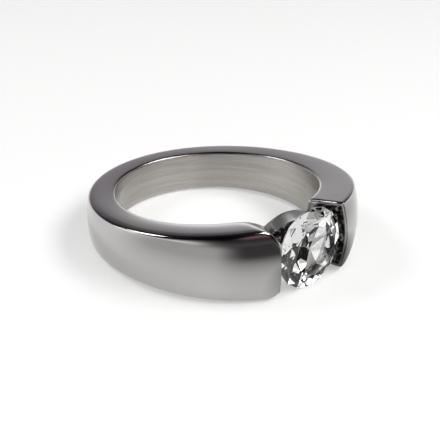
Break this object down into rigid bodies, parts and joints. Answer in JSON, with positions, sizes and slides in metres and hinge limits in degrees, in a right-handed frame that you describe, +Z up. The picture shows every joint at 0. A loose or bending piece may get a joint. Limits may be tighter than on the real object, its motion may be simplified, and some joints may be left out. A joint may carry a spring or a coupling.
{
  "type": "solitaire ring with a round stone",
  "caption": "Solid metal finger ring whose band widens into two shoulders with a round clear stone held between their ends.",
  "frame": {"origin": "middle of the ring's box, on the surface that it lies on", "axes": "+Z up, close to the finger axis, which leans back from it because the stone is the tallest point of the lower side; the setting faces -Y"},
  "size_m": [0.0229, 0.0224, 0.0067],
  "materials": {
    "polished_steel": "polished outside, satin in the finger hole, as cast in the setting",
    "clear_stone": "faceted, clear"
  },
  "bodies": {
    "root": {"band": "polished_steel", "stone": "clear_stone"}
  },
  "joints": []
}
